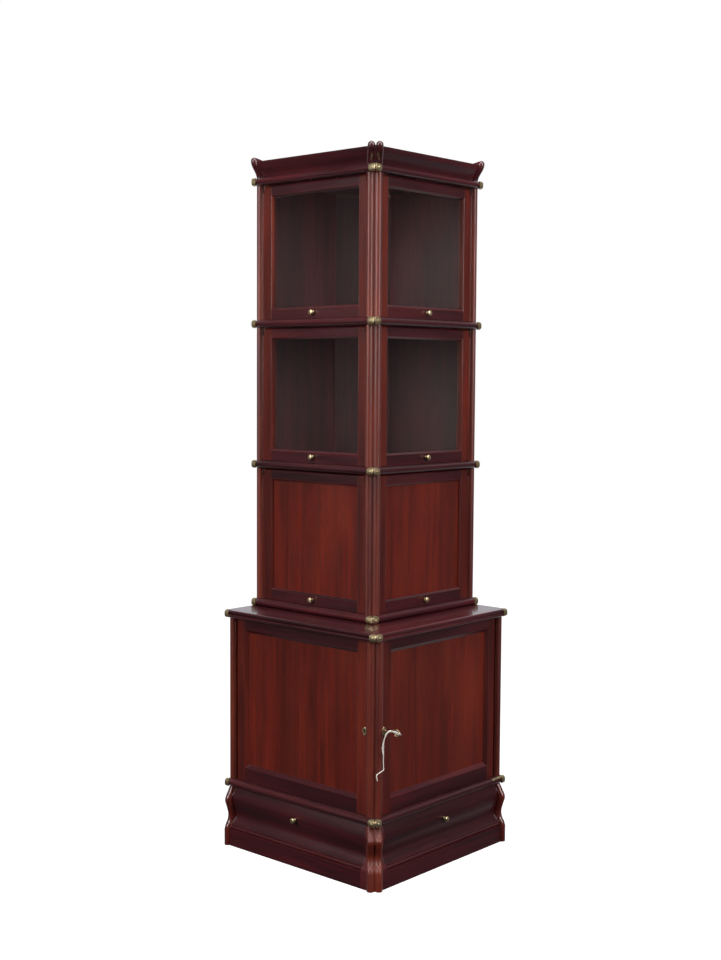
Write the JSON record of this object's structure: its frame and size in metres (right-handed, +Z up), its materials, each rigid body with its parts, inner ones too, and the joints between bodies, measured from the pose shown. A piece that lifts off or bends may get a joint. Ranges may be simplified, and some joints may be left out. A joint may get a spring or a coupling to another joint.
{
  "type": "corner barrister bookcase",
  "caption": "Tall two-faced corner bookcase: stacked sections with lift-up, slide-back doors on two faces over a deeper cupboard and drawer base, with a flared cornice.",
  "frame": {"origin": "on the floor under the middle of the plan", "axes": "+Z up; the right door face looks along -Y and the left door face along -X; the plain backs face +X and +Y"},
  "size_m": [0.5785, 0.6049, 1.941],
  "materials": {
    "frame_wood": "dark red-brown mahogany stain under a glossy clear lacquer",
    "panel_wood": "warm red-brown mahogany panel, glossy lacquer, fine upright grain",
    "inside_wood": "dark stained boards, satin",
    "brass": "aged polished brass",
    "steel": "plain flat steel",
    "glass": "clear float glass",
    "cotton": "twisted white cotton string"
  },
  "bodies": {
    "case": {"cornice": "frame_wood", "board_low": "frame_wood", "back_low": "inside_wood", "post_low": "frame_wood", "side_low_right": "frame_wood", "side_low_left": "frame_wood", "board_middle": "frame_wood", "back_middle": "inside_wood", "post_middle": "frame_wood", "side_middle_right": "frame_wood", "side_middle_left": "frame_wood", "board_top": "frame_wood", "back_top": "inside_wood", "post_top": "frame_wood", "side_top_right": "frame_wood", "side_top_left": "frame_wood", "table_top": "frame_wood", "cupboard_back": "inside_wood", "cupboard_post": "frame_wood", "middle_board": "frame_wood", "cupboard_side_right": "frame_wood", "drawer_side_right": "frame_wood", "cupboard_side_left": "frame_wood", "drawer_side_left": "frame_wood", "plinth": "frame_wood", "drawer_post": "frame_wood"},
    "low_right_carriage": {"carriage_low_right": "steel"},
    "low_right_door": {"door_low_right": "frame_wood", "panel_low_right": "panel_wood", "knob_low_right": "brass"},
    "low_left_carriage": {"carriage_low_left": "steel"},
    "low_left_door": {"door_low_left": "frame_wood", "panel_low_left": "panel_wood", "knob_low_left": "brass"},
    "middle_right_carriage": {"carriage_middle_right": "steel"},
    "middle_right_door": {"door_middle_right": "frame_wood", "glass_middle_right": "glass", "knob_middle_right": "brass"},
    "middle_left_carriage": {"carriage_middle_left": "steel"},
    "middle_left_door": {"door_middle_left": "frame_wood", "glass_middle_left": "glass", "knob_middle_left": "brass"},
    "top_right_carriage": {"carriage_top_right": "steel"},
    "top_right_door": {"door_top_right": "frame_wood", "glass_top_right": "glass", "knob_top_right": "brass"},
    "top_left_carriage": {"carriage_top_left": "steel"},
    "top_left_door": {"door_top_left": "frame_wood", "glass_top_left": "glass", "knob_top_left": "brass"},
    "cupboard_right_door": {"cupboard_door_right": "frame_wood", "cupboard_panel_right": "panel_wood", "key": "brass", "key_string": "cotton"},
    "right_drawer": {"drawer_right": "frame_wood", "drawer_knob_right": "brass"},
    "cupboard_left_door": {"cupboard_door_left": "frame_wood", "cupboard_panel_left": "panel_wood"},
    "left_drawer": {"drawer_left": "frame_wood", "drawer_knob_left": "brass"}
  },
  "joints": [
    {"name": "low_right_retract", "type": "slide", "parent": "case", "child": "low_right_carriage", "axis": [0, 1, 0], "range_m": [0, 0.28]},
    {"name": "low_right_lift", "type": "hinge", "parent": "low_right_carriage", "child": "low_right_door", "pos_m": [0.07175, -0.1415, 1.0603], "axis": [-1, 0, 0], "range_deg": [0, 90]},
    {"name": "low_left_retract", "type": "slide", "parent": "case", "child": "low_left_carriage", "axis": [-1, 0, 0], "range_m": [-0.28, 0]},
    {"name": "low_left_lift", "type": "hinge", "parent": "low_left_carriage", "child": "low_left_door", "pos_m": [-0.1415, 0.07175, 1.0603], "axis": [0, 1, 0], "range_deg": [0, 90]},
    {"name": "middle_right_retract", "type": "slide", "parent": "case", "child": "middle_right_carriage", "axis": [0, 1, 0], "range_m": [0, 0.28]},
    {"name": "middle_right_lift", "type": "hinge", "parent": "middle_right_carriage", "child": "middle_right_door", "pos_m": [0.07175, -0.1415, 1.4576], "axis": [-1, 0, 0], "range_deg": [0, 90]},
    {"name": "middle_left_retract", "type": "slide", "parent": "case", "child": "middle_left_carriage", "axis": [-1, 0, 0], "range_m": [-0.28, 0]},
    {"name": "middle_left_lift", "type": "hinge", "parent": "middle_left_carriage", "child": "middle_left_door", "pos_m": [-0.1415, 0.07175, 1.4576], "axis": [0, 1, 0], "range_deg": [0, 90]},
    {"name": "top_right_retract", "type": "slide", "parent": "case", "child": "top_right_carriage", "axis": [0, 1, 0], "range_m": [0, 0.28]},
    {"name": "top_right_lift", "type": "hinge", "parent": "top_right_carriage", "child": "top_right_door", "pos_m": [0.07175, -0.1415, 1.8549], "axis": [-1, 0, 0], "range_deg": [0, 90]},
    {"name": "top_left_retract", "type": "slide", "parent": "case", "child": "top_left_carriage", "axis": [-1, 0, 0], "range_m": [-0.28, 0]},
    {"name": "top_left_lift", "type": "hinge", "parent": "top_left_carriage", "child": "top_left_door", "pos_m": [-0.1415, 0.07175, 1.8549], "axis": [0, 1, 0], "range_deg": [0, 90]},
    {"name": "cupboard_right_swing", "type": "hinge", "parent": "case", "child": "cupboard_right_door", "pos_m": [0.258, -0.246, 0.42], "axis": [0, 0, 1], "range_deg": [0, 90]},
    {"name": "cupboard_left_swing", "type": "hinge", "parent": "case", "child": "cupboard_left_door", "pos_m": [-0.246, 0.258, 0.42], "axis": [0, 0, -1], "range_deg": [0, 90]},
    {"name": "right_drawer_pull", "type": "slide", "parent": "case", "child": "right_drawer", "axis": [0, -1, 0], "range_m": [0, 0.19]},
    {"name": "left_drawer_pull", "type": "slide", "parent": "case", "child": "left_drawer", "axis": [-1, 0, 0], "range_m": [0, 0.19]}
  ]
}
